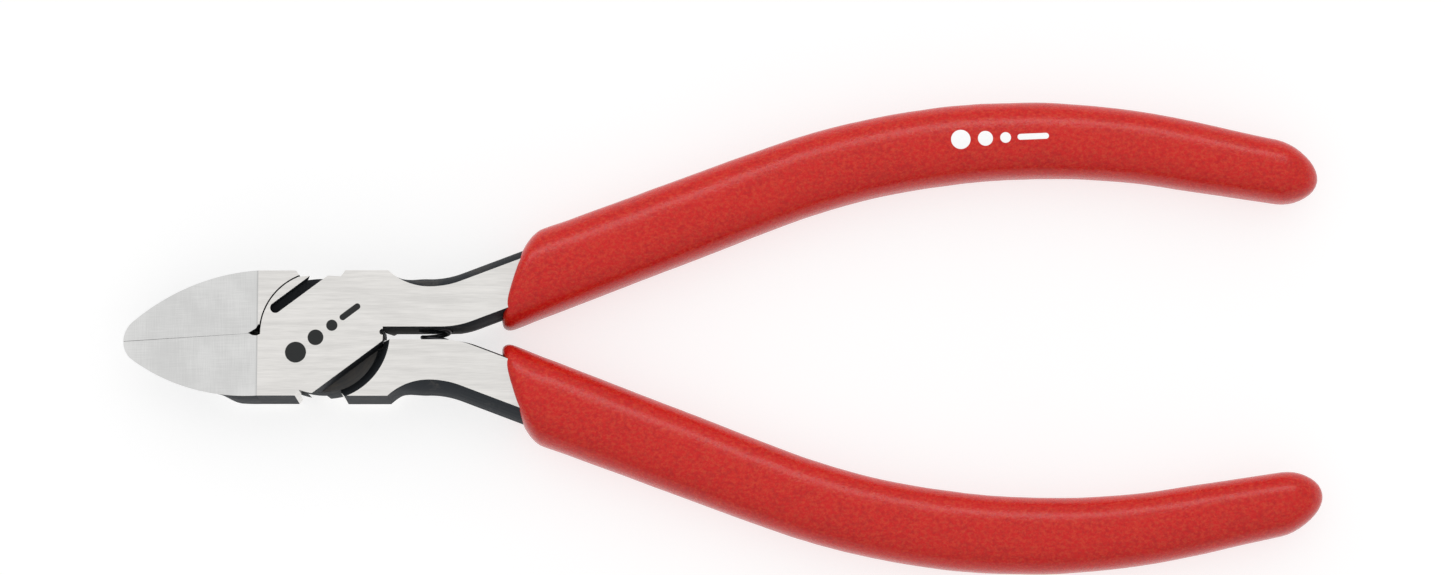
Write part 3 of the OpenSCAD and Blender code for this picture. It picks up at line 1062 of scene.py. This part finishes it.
class CUTTER_OT_spring(bpy.types.Operator):
    """Make the coil spring between the arms"""

    bl_idname = "cutter.spring"
    bl_label = "Opening spring"

    def execute(self, context):
        s = sizes()
        tree = spring_tree(spring_wire(context.scene.cutter_colours))
        made = linked("Spring", bpy.data.meshes.new("Spring"))
        step = made.modifiers.new("Coil", "NODES")
        step.node_group = tree
        values = {
            "Coil radius": (s.spring_d - s.wire_d) / 2,
            "Half length": s.arm_gap + s.pocket_depth - s.wire_d / 2 - 0.02,
            "Wire radius": s.wire_d / 2,
            "Turns": int(s.spring_turns),
        }
        for item in tree.interface.items_tree:
            if item.in_out == "INPUT":
                step[item.identifier] = values[item.name]
        applied(made)
        placed(made, Matrix.Translation((s.spring_x, 0, MID)))
        finished(smoothed(made, 60), "coil_spring", None, "opening_spring")
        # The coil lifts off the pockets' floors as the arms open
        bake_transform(made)
        return {"FINISHED"}


class CUTTER_OT_grips(bpy.types.Operator):
    """Make the two dipped grips"""

    bl_idname = "cutter.grips"
    bl_label = "Dipped grips"

    def execute(self, context):
        s = sizes()
        c = context.scene.cutter_colours
        for upper, body in ((True, FRONT_BODY), (False, REAR_BODY)):
            name = "upper_grip" if upper else "lower_grip"
            made = grip(s)
            if not upper:
                turned_over(made)
            made.data.materials.append(dipped_vinyl(c, upper))
            finished(smoothed(made, 50), f"{name}_sleeve", body, name)
        return {"FINISHED"}


def area_light(name, place, target, size, power):
    """A rectangular light that faces its target."""
    lamp = bpy.data.lights.new(name, "AREA")
    lamp.shape = "RECTANGLE"
    lamp.size, lamp.size_y = size
    lamp.energy = power
    made = linked(name, lamp)
    made.location = place
    made.rotation_euler = (Vector(target) - Vector(place)).to_track_quat("-Z", "Y").to_euler()
    return made


class CUTTER_OT_stage(bpy.types.Operator):
    """Make the floor, the lights and the camera"""

    bl_idname = "cutter.stage"
    bl_label = "Floor, lights and camera"

    def execute(self, context):
        scene = context.scene
        low, high = CAD_BOX
        level = low.z - 0.0001
        level_corners = [(x, y, level) for x, y in ((-2, -2), (2, -2), (2, 2), (-2, 2))]
        floor = solid("Floor", level_corners, [(0, 1, 2, 3)])
        if floor.data.polygons[0].normal.z < 0:
            floor.data.flip_normals()
        floor.data.materials.append(pale_floor(scene.cutter_colours))

        world = bpy.data.worlds.new("Studio")
        world.use_nodes = True
        tree = world.node_tree
        up = tree.nodes.new("ShaderNodeSeparateXYZ")
        tree.links.new(tree.nodes.new("ShaderNodeTexCoord").outputs["Generated"], up.inputs[0])
        height = Signal(tree, up.outputs[2])
        plug(tree, tree.nodes["Background"].inputs["Color"], (1, 1, 1))
        plug(tree, tree.nodes["Background"].inputs["Strength"], height.most(0.0) ** 0.5 * 0.5 + 0.4)
        scene.world = world
        middle = (0.053, 0.0, 0.0)
        strip = area_light("Strip for the grips", (0.053, 0.37, 0.47), middle, (0.9, 0.11), 1.5)
        lit = bpy.data.collections.new("Grips")
        for name in ("upper_grip_sleeve", "lower_grip_sleeve"):
            lit.objects.link(bpy.data.objects[name])
        strip.light_linking.receiver_collection = lit
        scene.view_settings.view_transform = "Standard"

        lens = bpy.data.cameras.new("Camera")
        lens.lens = 135
        lens.sensor_width = 36
        lens.clip_start = 0.01
        camera = linked("Camera", lens)
        wide = 0.1925  # metres across the view
        tilt = math.radians(81.5)
        aim = Vector((0.05335, 0.0061, JOINT_T * MM))
        away = Vector((0, -math.cos(tilt), math.sin(tilt)))
        camera.location = aim + away * (wide * lens.lens / lens.sensor_width)
        camera.rotation_euler = (-away).to_track_quat("-Z", "Y").to_euler()
        scene.camera = camera
        return {"FINISHED"}


class CUTTER_PT_panel(bpy.types.Panel):
    bl_idname = "CUTTER_PT_panel"
    bl_label = "Flush Cutter"
    bl_space_type = "VIEW_3D"
    bl_region_type = "UI"
    bl_category = "Flush Cutter"

    def draw(self, context):
        for operator in OPERATORS:
            self.layout.operator(operator.bl_idname)
        for group, kind in (("cutter_sizes", CutterSizes), ("cutter_colours", CutterColours)):
            column = self.layout.column()
            for name in kind.__annotations__:
                column.prop(getattr(context.scene, group), name)


OPERATORS = (CUTTER_OT_halves, CUTTER_OT_rivet, CUTTER_OT_spring, CUTTER_OT_grips, CUTTER_OT_stage)
CLASSES = (CutterSizes, CutterColours, *OPERATORS, CUTTER_PT_panel)


def register():
    for cls in CLASSES:
        bpy.utils.register_class(cls)
    bpy.types.Scene.cutter_sizes = bpy.props.PointerProperty(type=CutterSizes)
    bpy.types.Scene.cutter_colours = bpy.props.PointerProperty(type=CutterColours)


def unregister():
    del bpy.types.Scene.cutter_sizes
    del bpy.types.Scene.cutter_colours
    for cls in reversed(CLASSES):
        bpy.utils.unregister_class(cls)


def main():
    register()
    for name in ("halves", "rivet", "spring", "grips", "stage"):
        getattr(bpy.ops.cutter, name)()


if __name__ == "__main__":
    main()
